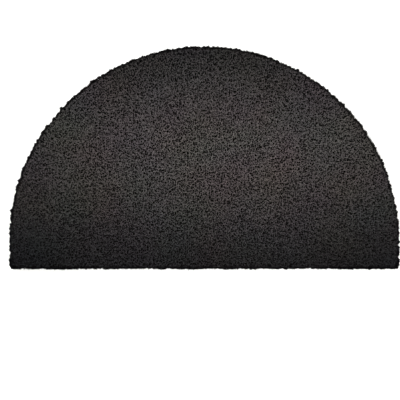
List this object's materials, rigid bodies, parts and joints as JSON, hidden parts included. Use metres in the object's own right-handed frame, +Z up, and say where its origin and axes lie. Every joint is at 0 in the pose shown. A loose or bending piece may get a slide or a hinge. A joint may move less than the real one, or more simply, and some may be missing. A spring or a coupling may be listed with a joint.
{
  "type": "half round coir doormat",
  "caption": "Half round doormat of charcoal coir pile, sheared level, with a straight threshold side and a rough cut rim.",
  "frame": {"origin": "middle of the mat's footprint, on the floor that it lies on", "axes": "+X along the straight threshold side, +Y from the straight side to the crown of the arc, +Z up from the floor through the pile"},
  "size_m": [0.7026, 0.4035, 0.017],
  "materials": {
    "coir": "matte"
  },
  "bodies": {
    "root": {"mat": "coir"}
  },
  "joints": []
}
